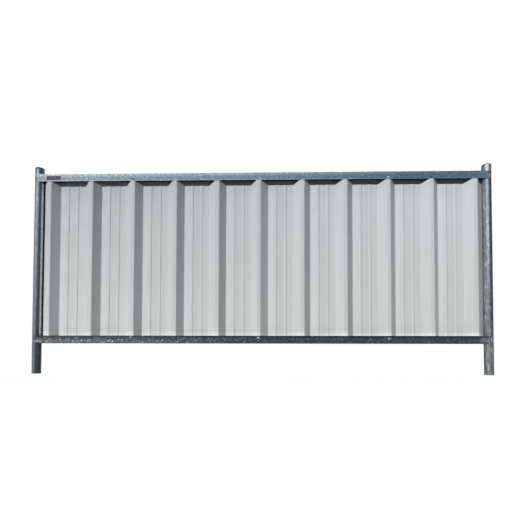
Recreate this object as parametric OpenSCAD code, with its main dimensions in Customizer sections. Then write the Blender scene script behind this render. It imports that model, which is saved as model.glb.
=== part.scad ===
// Steel hoarding fence panel: two tubular posts, two folded channel rails and a face
// of two lapped trapezoidal sheets, riveted behind the front legs of the rails.
// The origin is the middle of the left post's foot face. The panel runs along +X,
// its front faces -Y and +Z is up. All lengths are in millimetres.

/* [Posts] */
// Outside diameter of a post tube
post_diameter = 42.4; // [38:0.1:60.3]
// Wall thickness of a post tube
post_wall = 2; // [1.5:0.1:3]
// Length of a post tube
post_length = 1015; // [700:1:2000]
// Height of the plastic cap above the tube
cap_height = 4; // [2:0.5:8]
// Chamfer round the cap's top edge
cap_chamfer = 1.2; // [0.5:0.1:1.8]
// Depth of the cap's plug inside the tube
cap_plug = 14; // [8:1:25]
// Wall thickness of the cap's plug
plug_wall = 2; // [1:0.5:4]
// Gap between the cap's plug and the tube's bore
cap_clearance = 0.25; // [0.1:0.05:0.6]

/* [Rails] */
// Height of the bottom rail's underside above the foot
bottom_rail_height = 150; // [60:1:300]
// Post length standing above the top rail
top_stub = 32; // [18:1:80]
// Height of the top rail's front leg, over the fold
top_front_leg = 37.5; // [32:0.5:60]
// Height of the bottom rail's front leg, over the fold
bottom_front_leg = 34; // [32:0.5:60]
// Height of a rail's back leg, over the fold
rail_back_leg = 49; // [32:0.5:70]
// Wall thickness of the folded rails
rail_wall = 2; // [1.5:0.1:3]
// Inside radius of the rail folds
rail_fold = 2; // [1:0.5:3]
// Gap on each side between a post and the rail legs
rail_clearance = 1; // [0.6:0.1:3]
// Gap between a post and the cut-out of the rail web
web_clearance = 0.5; // [0.2:0.1:0.5]
// How far the rail legs run past the post centres
rail_overrun = 0; // [0:0.5:10]

/* [Welds] */
// How far a weld bead reaches past the gap that it closes
weld_bite = 1.5; // [0.8:0.1:2]
// Length of a weld bead
weld_length = 26; // [15:1:26]

/* [Sheets] */
// Pitch of the trapezoidal profile
sheet_pitch = 207; // [172:1:280]
// Number of full waves in one sheet
sheet_waves = 5; // [3:1:7]
// Width of the narrow front flange
crest_width = 20; // [16:0.5:40]
// Sideways run of one sloping web
web_run = 31.5; // [24:0.5:40]
// Depth of the profile over its faces
sheet_depth = 35; // [20:0.5:37]
// Thickness of the sheet
sheet_thickness = 0.6; // [0.5:0.05:1]
// Bend radius at the middle of the sheet
bend_radius = 3; // [1.5:0.5:5]
// Distance from the left post's surface to the first front flange
left_gap = 29; // [24:0.5:45]
// Distance from the last front flange to the right post's surface
right_gap = 34.6; // [14:0.1:60]
// Gap between a post and the edge of the sheet behind it
edge_clearance = 1.2; // [1:0.1:10]
// Sideways run of the right sheet's lip, left of its first front flange
lip_run = 20; // [3:0.5:22]
// Gap between the sloping webs where the sheets lap
lap_gap = 0.03; // [0.02:0.01:0.3]
// How far the lapped front flanges are pulled left of the pitch
lap_pull = 5; // [0:0.5:8]

/* [Stiffening ribs] */
// Height of a rib in the wide flange
rib_height = 2.8; // [1:0.1:4]
// Width of a rib at its foot
rib_foot = 13; // [10:0.5:16]
// Width of a rib at its top
rib_top = 8; // [3:0.5:8.5]
// Distance from the flange's middle to each rib
rib_offset = 23.5; // [12:0.5:30]
// Bend radius of a rib at the middle of the sheet
rib_bend = 1.2; // [1:0.1:1.4]

/* [Sheet ends] */
// Length of front flange that stands up behind the top rail's front leg
tongue_lap = 20; // [12:0.5:28]
// Width of web left standing at each side of such a tongue
tongue_edge = 1; // [1:0.5:3]
// Drop of the webs' top corners below the top rail's front leg
web_drop = 0.5; // [0:0.5:10]
// Drop of the wide flange's top edge below the top rail's front leg
pan_drop = 11.5; // [0:0.5:30]

/* [Hidden] */
$fn = 64;
bend_steps = 4;
rib_steps = 2;
cut_over = 5;
post_radius = post_diameter / 2;
inner_half = post_radius + rail_clearance;
outer_half = inner_half + rail_wall;
fold_outer = rail_fold + rail_wall;
top_rail_height = post_length - top_stub;
front_leg_edge = top_rail_height - top_front_leg;
half_crest = crest_width / 2;
sheet_run = sheet_waves * sheet_pitch;
post_spacing = post_diameter + left_gap + crest_width + 2 * sheet_run + right_gap;
first_crest = post_radius + left_gap + half_crest;
front_plane = -inner_half;
sheet_foot = bottom_rail_height + fold_outer;
sheet_top = front_leg_edge + tongue_lap;
web_rise = sheet_depth - sheet_thickness;

// A weld bead fills the gap beside the end of a rail leg and reaches past it by its bite
weld_radius = rail_clearance + weld_bite;
weld_x = rail_overrun + weld_bite / 2;
bottom_weld_height = bottom_rail_height + bottom_front_leg - weld_length;

// Left normal of a direction angle
function normal(a) = [-sin(a), cos(a)];

// Direction angle from one point to the next
function heading(p, q) = atan2(q[1] - p[1], q[0] - p[0]);

// Corner q of the path p-q-r, rounded by q's own radius q[2] and moved sideways by side
function bend(p, q, r, side) =
    let (a = heading(p, q), turn = heading(q, r) - a, s = sign(turn))
    let (back = q[2] * tan(abs(turn) / 2))
    let (start = [q[0], q[1]] - back * [cos(a), sin(a)])
    let (centre = start + s * q[2] * normal(a))
    let (steps = q[2] > rib_bend ? bend_steps : rib_steps)
    [
        for (k = [0 : steps])
            centre - (s * q[2] - side) * normal(a + turn * k / steps)
    ];

// The whole path moved sideways by side, with every corner rounded
function parallel(path, side) =
    let (n = len(path), first = path[0], last = path[n - 1])
    [
        [first[0], first[1]] + side * normal(heading(first, path[1])),
        for (i = [1 : n - 2])
            each bend(path[i - 1], path[i], path[i + 1], side),
        [last[0], last[1]] + side * normal(heading(path[n - 2], last))
    ];

// Sideways shift that lays a web of this run against one a sheet's thickness in front
function nest(run) = sheet_thickness * (norm([run, web_rise]) - run) / web_rise + lap_gap;

// Middle of a sheet's front flange k, with the sheet's pitch line starting at x;
// the first and last flange are pulled left
function crest_x(x, k, first_pull, last_pull) =
    x + k * sheet_pitch - (k == 0 ? first_pull : 0) - (k == sheet_waves ? last_pull : 0);

// Corners of one stiffening rib with its middle at x
function rib_path(x) = [
    [x - rib_foot / 2, web_rise, rib_bend],
    [x - rib_top / 2, web_rise - rib_height, rib_bend],
    [x + rib_top / 2, web_rise - rib_height, rib_bend],
    [x + rib_foot / 2, web_rise, rib_bend]
];

// Corners of the wide flange that follows the pitch point x;
// its right corner moves by pinch
function pan_path(x, pinch) =
    let (middle = x + sheet_pitch / 2)
    [
        [x + half_crest + web_run, web_rise, bend_radius],
        each rib_path(middle - rib_offset),
        each rib_path(middle + rib_offset),
        [x + sheet_pitch - half_crest - web_run + pinch, web_rise, bend_radius]
    ];

// Corners of a front flange with its middle at x, narrowed by left and right
function crest_path(x, left, right) = [
    [x - half_crest + left, 0, bend_radius],
    [x + half_crest - right, 0, bend_radius]
];

// Far end of an outer web that starts at the front corner at x and runs sideways by
// run; it stops short of the post at axis
function web_end(x, run, axis) =
    let (slope = [run, web_rise] / norm([run, web_rise]))
    let (start = [x - axis, front_plane + sheet_thickness])
    let (full = web_rise / slope[1], along = -start * slope)
    let (reach = post_radius + edge_clearance)
    let (hit = along * along - start * start + reach * reach)
    [x, 0] + (hit > 0 ? min(full, along - sqrt(hit)) : full) * slope;

// Edge strip of the wide flange, which follows a whole last web with its foot at x
// and reaches up to the right post, where there is room for it
function edge_strip(x) =
    let (depth = front_plane + web_rise, reach = post_radius + edge_clearance)
    let (end = post_spacing - sqrt(max(0, reach * reach - depth * depth)))
    end - x > 2 * bend_radius * tan(atan2(web_rise, web_run) / 2)
        ? [[x, web_rise, bend_radius], [end, web_rise]]
        : [];

// Middle line of a whole sheet: edge, waves, last front flange and edge;
// a sheet that lies behind another one at its last flange is nested there,
// and one that lies in front has a lip at its first flange
function sheet_path(x, first_pull, last_pull, nested) =
    let (first = crest_x(x, 0, first_pull, last_pull) - half_crest)
    let (last = crest_x(x, sheet_waves, first_pull, last_pull))
    let (left = nested ? nest(web_run - last_pull) : 0)
    let (right = nested ? nest(web_run + last_pull) : 0)
    let (end = web_end(last + half_crest - right, web_run + last_pull, post_spacing))
    let (strip = nested ? [] : edge_strip(last + half_crest + web_run))
    [
        nested
            ? web_end(first, -web_run, 0)
            : [first - lip_run, web_rise * lip_run / (web_run - first_pull)],
        for (k = [0 : sheet_waves - 1])
            each [
                each crest_path(crest_x(x, k, first_pull, last_pull), 0, 0),
                each pan_path(x + k * sheet_pitch, k == sheet_waves - 1 ? left : 0)
            ],
        each crest_path(last, left, right),
        each len(strip) > 0 ? strip : [end]
    ];

// Closed outline of a sheet: front face one way, back face the other way
function sheet_outline(path) =
    let (half = sheet_thickness / 2)
    let (front = parallel(path, -half), back = parallel(path, half))
    [
        each front,
        for (i = [len(back) - 1 : -1 : 0])
            back[i]
    ];

// Opening cut in the top edge between two front flanges with their middles at a and b
module notch(a, b) {
    left = a + half_crest + tongue_edge;
    right = b - half_crest - tongue_edge;
    depth = sheet_depth + 2 * cut_over;
    translate([0, sheet_depth + cut_over, 0])
        rotate([90, 0, 0])
            linear_extrude(depth)
                polygon([
                    [left, front_leg_edge - web_drop],
                    [left + web_run, front_leg_edge - pan_drop],
                    [right - web_run, front_leg_edge - pan_drop],
                    [right, front_leg_edge - web_drop],
                    [right, sheet_top + cut_over],
                    [left, sheet_top + cut_over]
                ]);
}

// One profiled sheet: its pitch line starts at x, and set_back moves it off the rail leg
module sheet(x, set_back, first_pull, last_pull, nested) {
    path = sheet_path(x, first_pull, last_pull, nested);
    translate([0, front_plane + set_back, 0])
        difference() {
            translate([0, sheet_thickness / 2, sheet_foot])
                linear_extrude(sheet_top - sheet_foot)
                    polygon(sheet_outline(path));
            for (k = [-1 : sheet_waves])
                notch(
                    crest_x(x, k, first_pull, last_pull),
                    crest_x(x, k + 1, first_pull, last_pull)
                );
        }
}

// Post tube, open at the foot
module post(x) {
    bore = post_radius - post_wall;
    translate([x, 0, 0])
        difference() {
            cylinder(r = post_radius, h = post_length);
            translate([0, 0, -cut_over])
                cylinder(r = bore, h = post_length + 2 * cut_over);
        }
}

// Plastic cap: a chamfered disc on the tube's end and a hollow plug in its bore
module post_cap(x) {
    plug = post_radius - post_wall - cap_clearance;
    rim = cap_height - cap_chamfer;
    translate([x, 0, post_length])
        difference() {
            union() {
                cylinder(r = post_radius, h = rim);
                translate([0, 0, rim])
                    cylinder(r1 = post_radius, r2 = post_radius - cap_chamfer, h = cap_chamfer);
                translate([0, 0, -cap_plug])
                    cylinder(r = plug, h = cap_plug + rim / 2);
            }
            translate([0, 0, -cap_plug - cut_over])
                cylinder(r = plug - plug_wall, h = cap_plug + cut_over);
        }
}

// Quarter ring of a fold between the web and a leg, on the side +1 or -1
module fold(side) {
    intersection() {
        difference() {
            circle(r = fold_outer);
            circle(r = rail_fold);
        }
        translate([side > 0 ? 0 : -fold_outer, 0])
            square(fold_outer);
    }
}

// Channel section open downwards: web top at zero, front leg on the left
module channel_section(front_leg) {
    flat_half = inner_half - rail_fold;
    translate([-flat_half, -rail_wall])
        square([2 * flat_half, rail_wall]);
    translate([-outer_half, -front_leg])
        square([rail_wall, front_leg - fold_outer]);
    translate([inner_half, -rail_back_leg])
        square([rail_wall, rail_back_leg - fold_outer]);
    for (side = [-1, 1])
        translate([side * flat_half, -fold_outer])
            fold(side);
}

// Cut-out of a rail's web round the post at x, open towards the rail's near end
module post_slot(x, side) {
    slot = post_radius + web_clearance;
    height = fold_outer + cut_over;
    translate([x, 0, -fold_outer])
        cylinder(r = slot, h = height);
    translate([side > 0 ? x : x - rail_overrun - cut_over, -slot, -fold_outer])
        cube([rail_overrun + cut_over, 2 * slot, height]);
}

// Whole rail along +X; its web stops round the posts and its legs pass beside them
module rail(front_leg) {
    difference() {
        translate([-rail_overrun, 0, 0])
            rotate([90, 0, 90])
                linear_extrude(post_spacing + 2 * rail_overrun)
                    channel_section(front_leg);
        post_slot(0, -1);
        post_slot(post_spacing, 1);
    }
}

// Weld bead in the corner between a post and the end of a rail leg;
// side and face are -1 or 1, and z is the bead's lower end
module weld(x, side, face, z) {
    leg = rail_overrun + 2 * weld_radius;
    translate([x, 0, z])
        difference() {
            translate([side * weld_x, face * inner_half, 0])
                cylinder(r = weld_radius, h = weld_length);
            translate([0, 0, -cut_over])
                cylinder(r = post_radius, h = weld_length + 2 * cut_over);
            translate([side > 0 ? rail_overrun - leg : -rail_overrun, 0, -cut_over])
                translate([0, face > 0 ? inner_half : -outer_half, 0])
                    cube([leg, rail_wall, weld_length + 2 * cut_over]);
        }
}

module left_post() {
    color("silver")
        post(0);
}

module right_post() {
    color("silver")
        post(post_spacing);
}

module left_post_cap() {
    color("dimgray")
        post_cap(0);
}

module right_post_cap() {
    color("dimgray")
        post_cap(post_spacing);
}

module top_rail() {
    color("slategray")
        translate([0, 0, top_rail_height])
            rail(top_front_leg);
}

module bottom_rail() {
    color("slategray")
        translate([0, 0, bottom_rail_height])
            mirror([0, 0, 1])
                rail(bottom_front_leg);
}

module left_sheet() {
    color("gainsboro")
        sheet(first_crest, sheet_thickness, 0, lap_pull, true);
}

module right_sheet() {
    color("whitesmoke")
        sheet(first_crest + sheet_run, 0, lap_pull, 0, false);
}

module weld_top_left_front() {
    color("gray")
        weld(0, -1, -1, front_leg_edge);
}

module weld_top_left_back() {
    color("gray")
        weld(0, -1, 1, front_leg_edge);
}

module weld_top_right_front() {
    color("gray")
        weld(post_spacing, 1, -1, front_leg_edge);
}

module weld_top_right_back() {
    color("gray")
        weld(post_spacing, 1, 1, front_leg_edge);
}

module weld_bottom_left_front() {
    color("gray")
        weld(0, -1, -1, bottom_weld_height);
}

module weld_bottom_left_back() {
    color("gray")
        weld(0, -1, 1, bottom_weld_height);
}

module weld_bottom_right_front() {
    color("gray")
        weld(post_spacing, 1, -1, bottom_weld_height);
}

module weld_bottom_right_back() {
    color("gray")
        weld(post_spacing, 1, 1, bottom_weld_height);
}

left_post();
right_post();
left_post_cap();
right_post_cap();
top_rail();
bottom_rail();
left_sheet();
right_sheet();
weld_top_left_front();
weld_top_left_back();
weld_top_right_front();
weld_top_right_back();
weld_bottom_left_front();
weld_bottom_left_back();
weld_bottom_right_front();
weld_bottom_right_back();
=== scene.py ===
import math

import bpy
import numpy as np
from mathutils import Matrix, Vector


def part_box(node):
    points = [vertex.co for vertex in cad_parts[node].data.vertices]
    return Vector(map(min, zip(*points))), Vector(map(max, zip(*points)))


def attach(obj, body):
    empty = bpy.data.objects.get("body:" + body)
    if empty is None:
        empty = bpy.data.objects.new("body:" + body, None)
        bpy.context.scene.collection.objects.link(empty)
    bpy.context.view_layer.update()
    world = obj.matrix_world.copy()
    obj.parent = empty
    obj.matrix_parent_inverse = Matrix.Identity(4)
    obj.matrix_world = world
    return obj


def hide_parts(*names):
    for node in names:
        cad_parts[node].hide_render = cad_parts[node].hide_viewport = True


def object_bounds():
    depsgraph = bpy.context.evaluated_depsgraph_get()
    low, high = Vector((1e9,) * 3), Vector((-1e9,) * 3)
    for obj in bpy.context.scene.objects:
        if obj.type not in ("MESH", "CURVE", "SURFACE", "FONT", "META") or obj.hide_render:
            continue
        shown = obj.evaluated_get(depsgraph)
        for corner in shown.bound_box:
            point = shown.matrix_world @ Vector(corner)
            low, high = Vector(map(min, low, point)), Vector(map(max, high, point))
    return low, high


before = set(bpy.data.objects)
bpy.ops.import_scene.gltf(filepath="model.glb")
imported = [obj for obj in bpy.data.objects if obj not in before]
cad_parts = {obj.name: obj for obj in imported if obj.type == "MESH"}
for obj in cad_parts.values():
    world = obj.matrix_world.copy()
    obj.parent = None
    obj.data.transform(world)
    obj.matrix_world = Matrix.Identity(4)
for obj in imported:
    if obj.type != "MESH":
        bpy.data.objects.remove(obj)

# Hoarding fence panel: galvanised posts and folded rails round two profiled steel sheets.
# All lengths are metres in the frame's own axes: +X along the panel, -Y the front, +Z up.
cadLow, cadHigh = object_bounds()
middleX = (cadLow.x + cadHigh.x) / 2
scene = bpy.context.scene
print("frame loaded:", len(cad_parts), "nodes")


# camera: stands before the panel's middle, low down, and looks slightly up
camera = {
    "place": (1.1217, -1.9017, 0.05), "clip": (0.01, 200),
    "lens": 27.54, "sensor": 36.0, "riseShift": 0.189,
    "turnLeft": 0.0223, "tiltUp": 0.0288, "roll": 0.0029,  # radians
}


def addCamera(c):
    # forward is +Y turned left and then up; the roll lifts the right side
    forward = Vector((
        -math.sin(c["turnLeft"]) * math.cos(c["tiltUp"]),
        math.cos(c["turnLeft"]) * math.cos(c["tiltUp"]),
        math.sin(c["tiltUp"]),
    ))
    level = forward.cross(Vector((0, 0, 1))).normalized()
    rise = level.cross(forward)
    right = level * math.cos(c["roll"]) + rise * math.sin(c["roll"])
    up = rise * math.cos(c["roll"]) - level * math.sin(c["roll"])
    data = bpy.data.cameras.new("panelCamera")
    data.lens = c["lens"]
    data.sensor_width = c["sensor"]
    data.shift_y = c["riseShift"]
    data.clip_start, data.clip_end = c["clip"]
    cam = bpy.data.objects.new("panelCamera", data)
    turn = Matrix((right, up, -forward)).transposed()
    cam.matrix_world = Matrix.Translation(c["place"]) @ turn.to_4x4()
    scene.collection.objects.link(cam)
    scene.camera = cam


addCamera(camera)


# node helpers
def emptyTree(owner):
    # the node tree of a material or world, cleared
    owner.use_nodes = True
    owner.node_tree.nodes.clear()
    return owner.node_tree


def addNode(tree, kind, inputs=None, **settings):
    # one node with its settings; each of the inputs gets a socket's link or a plain value
    node = tree.nodes.new("ShaderNode" + kind)
    for name, value in settings.items():
        setattr(node, name, value)
    for name, value in (inputs or {}).items():
        if isinstance(value, bpy.types.NodeSocket):
            tree.links.new(value, node.inputs[name])
        else:
            node.inputs[name].default_value = value
    return node


def objectPlace(tree, stretch=1.0):
    # Object coordinates with z times stretch; under 1, a pattern is drawn out up the piece
    place = addNode(tree, "TexCoord").outputs["Object"]
    return addNode(tree, "Mapping", {"Vector": place, "Scale": (1, 1, stretch)}).outputs[0]


def noise(tree, scale, detail, rough=0.55, stretch=1.0):
    # cloudy values round a half; scale is the number of lumps in a metre
    made = addNode(tree, "TexNoise", {
        "Vector": objectPlace(tree, stretch),
        "Scale": scale, "Detail": detail, "Roughness": rough,
    })
    return made.outputs["Fac"]


def ramp(tree, value, low, high, outLow=0.0, outHigh=1.0):
    # straight line from (low, outLow) to (high, outHigh), held at both ends
    made = addNode(tree, "MapRange", {
        "Value": value, "From Min": low, "From Max": high, "To Min": outLow, "To Max": outHigh,
    })
    return made.outputs["Result"]


def patches(tree, kind, span=(0.3, 0.7), out=(0.0, 1.0)):
    # a kind of noise, given as noise's own values, with its span stretched over out
    return ramp(tree, noise(tree, *kind), *span, *out)


def blendColour(tree, factor, first, second, mode="MIX"):
    # first and second are sockets or plain colours; factor is a socket or a number
    first, second = ((*c, 1) if isinstance(c, tuple) else c for c in (first, second))
    return addNode(tree, "Mix", {0: factor, 6: first, 7: second}, data_type="RGBA",
                   blend_type=mode).outputs[2]


def calculate(tree, operation, first, second=0.0):
    # the result of a Math node; first and second are sockets or numbers
    return addNode(tree, "Math", {0: first, 1: second}, operation=operation).outputs[0]


def times(tree, first, *others):
    # product of sockets and numbers
    for other in others:
        first = calculate(tree, "MULTIPLY", first, other)
    return first


def axisValue(tree, axis):
    # one Object coordinate in metres
    place = addNode(tree, "TexCoord").outputs["Object"]
    return addNode(tree, "SeparateXYZ", {0: place}).outputs[axis]


def normalX(tree):
    # how far the surface faces +X, from -1 to 1
    normal = addNode(tree, "NewGeometry").outputs["Normal"]
    return addNode(tree, "SeparateXYZ", {0: normal}).outputs[0]


def newFinish(name, colour, look):
    # colour gets the tree and returns a socket. The look's roughness lies between its two
    # values of "rough", in patches of the noise "wear", its relief is the sum of the noises
    # "relief", "bump" metres high, and "shader" holds constants
    finish = bpy.data.materials.new(name)
    tree = emptyTree(finish)
    height = noise(tree, *look["relief"][0])
    for kind in look["relief"][1:]:
        height = calculate(tree, "ADD", height, noise(tree, *kind))
    bump = addNode(tree, "Bump", {"Height": height, "Distance": look["bump"]})
    shader = addNode(tree, "BsdfPrincipled", {
        "Base Color": colour(tree), "Normal": bump.outputs["Normal"],
        "Roughness": patches(tree, look["wear"], out=look["rough"]), **look["shader"],
    })
    addNode(tree, "OutputMaterial", {"Surface": shader.outputs["BSDF"]})
    return finish


def patchy(look):
    # a colour function: the look's colour, which turns into its worn one in patches
    def colour(tree):
        worn = patches(tree, look["patch"], look["patchSpan"])
        return blendColour(tree, worn, look["colour"], look["worn"])

    return colour


# finish of the sheets: light grey coil coating
coat = {
    "colour": (0.526, 0.577, 0.57),
    "rough": (0.46, 0.58), "wear": (18, 5), "bump": 0.00006,
    "relief": ((420, 2), (260, 2, 0.55, 0.02)),  # orange peel, and rolling grain down the sheet
    "shader": {"Diffuse Roughness": 0.3, "Specular IOR Level": 0.35},
    # dust lies low, in clouds, and is also painted light that makes the lower sheet paler: it
    # grows from the first of these heights down to the second
    "dustAndLowLight": (0.581, 0.624, 0.594), "dustHeight": (0.95, 0.15),
    "cloud": (3.5, 3), "cloudSpan": (0.25, 0.75), "cloudAmount": (0.55, 1.0),
    # grime lies in rain streaks, and in specks that only some patches have
    "grime": (0.33, 0.345, 0.335),
    "streak": (60, 3, 0.55, 0.04), "streakSpan": (0.35, 0.7), "streakAmount": (0.0, 0.1),
    "specks": 34, "speckEdge": (0.045, 0.02),  # per metre, and distances from their middles
    "speckPatch": (9, 2), "speckSpan": (0.6, 0.64), "speckAmount": (0.0, 0.55),
    "shade": (0.012, 0.015, 0.017),  # painted shade in the narrow gap beside the left post
    "shadeWidth": 0.0062, "shadeFade": 0.003,
    "darkening": (0.16, 0.17, 0.165), "rightShadeWidth": 0.0035,  # painted shade beside the right post
    "rightShadeFade": 0.0015, "rightShadeAmount": (0.0, 0.75),
    # paler band on the sheet just above the bottom rail
    "paleFoot": (0.84, 0.9, 0.88), "paleFootHeight": 0.026, "paleFootAmount": (0.0, 0.85),
    # painted shadow of the bottom rail's leg on the sheet behind it: its height, fade, and rise
    # per metre of depth
    "railShadow": (0.03, 0.036, 0.04), "railShadowHeight": 0.0016, "railShadowFade": 0.0012, "railShadowRise": 0.072,
    # painted shade on the slopes that face +X, away from the key light: a bluish tint, and a
    # darker grey that grows from left to right between two X values and keeps the share named Low
    # at the foot and the one named Back at the back
    "slope": (0.98, 1.0, 1.03), "slopeFacing": (0.3, 0.5),
    "slopeShade": (0.26, 0.31, 0.305), "slopeShadeAmount": (0.03, 0.4), "slopeShadeSpan": (0.09, 0.26),
    "slopeShadeLow": 0.3, "slopeShadeBack": 0.7,
    # the flanges are darker, and the strip beside each slope is lighter, a painted bounce light
    # from the slope; both change from left to right between two X values
    "flangeTone": (0.915, 0.97), "stripTone": (0.065, 0.115), "toneSpan": (0.1, 1.3),
    "strip": (0.0405, 0.0435, 0.066, 0.0735),  # X from the front flange's middle
    "fade": 0.2, "unevenMiddle": (1.1, 0.55),  # uneven brightness over the panel
}


def weathered(tree, x, z):
    # dust in clouds, which is also painted light that makes the lower sheet paler, rain streaks
    # and specks of grime, and uneven brightness, which multiplies the colour by
    # 1 + fade * (x - middle x) * (z - middle z)
    dustAndLowLightShare = times(tree, ramp(tree, z, *coat["dustHeight"]),
                  patches(tree, coat["cloud"], coat["cloudSpan"], coat["cloudAmount"]))
    base = blendColour(tree, dustAndLowLightShare, coat["colour"], coat["dustAndLowLight"])
    streaks = patches(tree, coat["streak"], coat["streakSpan"], coat["streakAmount"])
    base = blendColour(tree, streaks, base, coat["grime"])
    speck = addNode(tree, "TexVoronoi", {"Vector": objectPlace(tree), "Scale": coat["specks"]})
    specks = times(tree, ramp(tree, speck.outputs["Distance"], *coat["speckEdge"]),
                   patches(tree, coat["speckPatch"], coat["speckSpan"], coat["speckAmount"]))
    base = blendColour(tree, specks, base, coat["grime"])
    unevenTone = times(tree, calculate(tree, "SUBTRACT", x, coat["unevenMiddle"][0]),
                  calculate(tree, "SUBTRACT", z, coat["unevenMiddle"][1]), coat["fade"])
    return blendColour(tree, 1.0, base, calculate(tree, "ADD", unevenTone, 1.0), "MULTIPLY")


def slopesAndFlanges(tree, base, x, z, depth):
    # the slopes that face +X get painted shade, a darker grey and a bluish tint; all else gets
    # the flanges' tone, plus the strip's painted bounce light once in each pitch
    aslant = ramp(tree, normalX(tree), *coat["slopeFacing"])
    # painted shade on the slopes that face +X
    slopeShade = times(tree, aslant, ramp(tree, x, *coat["slopeShadeSpan"], *coat["slopeShadeAmount"]),
                 ramp(tree, depth, 0.0, sheet["depth"], 1.0, coat["slopeShadeBack"]),
                 ramp(tree, z, *coat["dustHeight"], 1.0, coat["slopeShadeLow"]))
    base = blendColour(tree, slopeShade, base, coat["slopeShade"])
    base = blendColour(tree, aslant, base, coat["slope"], "MULTIPLY")
    # painted bounce light on the strip beside each slope, once in each pitch
    inPitch = calculate(tree, "MODULO", calculate(tree, "SUBTRACT", x, firstPitch), sheet["pitch"])
    strip = times(tree, within(tree, inPitch, *coat["strip"]),
                  ramp(tree, x, *coat["toneSpan"], *coat["stripTone"]))
    tone = calculate(tree, "ADD", ramp(tree, x, *coat["toneSpan"], *coat["flangeTone"]), strip)
    flat = calculate(tree, "SUBTRACT", 1.0, aslant)
    return blendColour(tree, flat, base, tone, "MULTIPLY")


def sheetCoating():
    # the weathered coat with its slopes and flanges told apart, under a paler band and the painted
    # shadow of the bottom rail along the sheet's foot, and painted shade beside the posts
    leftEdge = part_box("left_post")[1].x + coat["shadeWidth"]
    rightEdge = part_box("right_post")[0].x - coat["rightShadeWidth"]
    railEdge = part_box("bottom_rail")[0].z + rails["low"]["leg"]
    railShadowTop = railEdge + coat["railShadowHeight"]

    def colour(tree):
        x, y, z = (axisValue(tree, axis) for axis in range(3))
        depth = calculate(tree, "SUBTRACT", y, sheetFace)
        base = slopesAndFlanges(tree, weathered(tree, x, z), x, z, depth)
        # a paler band on the sheet just above the bottom rail
        foot = ramp(tree, z, railEdge + coat["paleFootHeight"], railEdge, *coat["paleFootAmount"])
        base = blendColour(tree, foot, base, coat["paleFoot"])
        # painted shadow of the bottom rail's leg, higher on the sheet's deeper parts
        level = calculate(tree, "SUBTRACT", z, times(tree, depth, coat["railShadowRise"]))
        inRailShadow = ramp(tree, level, railShadowTop + coat["railShadowFade"], railShadowTop)
        base = blendColour(tree, inRailShadow, base, coat["railShadow"])
        # painted shade on the strip beside the right post
        darkened = ramp(tree, x, rightEdge, rightEdge + coat["rightShadeFade"], *coat["rightShadeAmount"])
        base = blendColour(tree, darkened, base, coat["darkening"])
        # painted shade in the narrow gap beside the left post
        shaded = ramp(tree, x, leftEdge + coat["shadeFade"], leftEdge)
        return blendColour(tree, shaded, base, coat["shade"])

    return newFinish("greyCoilCoating", colour, coat)


# finishes of posts and rails: hot-dip zinc, mottled and weathered in zones, with painted
# highlights, reflections and shade
rails = {
    # leg is the front leg's height. The colour goes from near at the left to far at the right,
    # between the two X values of fade; on the top rail this is a painted reflection, pale at the
    # left and dark blue at the right. Bands lie over it, each between two places on an axis or
    # two, with its strength at the left and at the right; z counts from the front leg's lower
    # edge. Crystals are per metre, and calm has rows (axis, start, full, amount)
    "top": {
        "node": "top_rail", "leg": 0.0375,
        "near": (0.245, 0.3, 0.335), "far": (0.078, 0.12, 0.168), "fade": (0.25, 1.85),
        "crystals": 150, "contrast": 0.3, "specks": 0.4, "calm": [(1, 0.0, 0.002, 0.75)],
        "bands": [
            # painted reflection on the upper half of the leg and painted highlights on its fold
            # and its lower rim, all strongest at the left; and the right end
            {"z": (0.016, 0.028), "colour": (0.43, 0.46, 0.47), "strength": (0.9, 0.03)},
            {"z": (0.0325, 0.0345), "colour": (0.7, 0.73, 0.74), "strength": (0.95, 0.06)},
            {"z": (0.0034, 0.0026), "colour": (0.5, 0.55, 0.57), "strength": (0.75, 0.1)},
            {"x": (2.158, 2.166), "colour": (0.125, 0.147, 0.162), "strength": (0.0, 0.6)},
            # back leg, and the shade high inside the rail
            {"y": (0.0, 0.002), "colour": (0.26, 0.33, 0.39), "strength": (0.3, 1.0)},
            {"y": (0.0, 0.002), "z": (0.013, 0.017), "colour": (0.004, 0.005, 0.006),
             "strength": (0.92, 0.8)},
        ],
    },
    "low": {
        "node": "bottom_rail", "leg": 0.034,
        "near": (0.028, 0.038, 0.043), "far": (0.026, 0.0385, 0.047), "fade": (0.35, 0.95),
        "crystals": 195, "contrast": 0.97, "specks": 4.4,
        "calm": [(0, 0.5, 1.1, 0.5), (1, 0.0, 0.002, 0.8)],  # to the right, and the back leg
        "bands": [
            # paler lower half of the leg, the right end, the back leg, painted shade along the top
            # edge
            {"z": (0.019, 0.015), "colour": (0.085, 0.1, 0.106), "strength": (0.9, 0.05)},
            {"x": (2.138, 2.154), "colour": (0.112, 0.127, 0.142), "strength": (0.0, 0.9)},
            {"y": (0.0, 0.002), "colour": (0.15, 0.18, 0.2), "strength": (0.9, 0.9)},
            {"z": (0.0265, 0.0285), "colour": (0.006, 0.008, 0.01), "strength": (0.9, 0.8)},
        ],
    },
}
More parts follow.
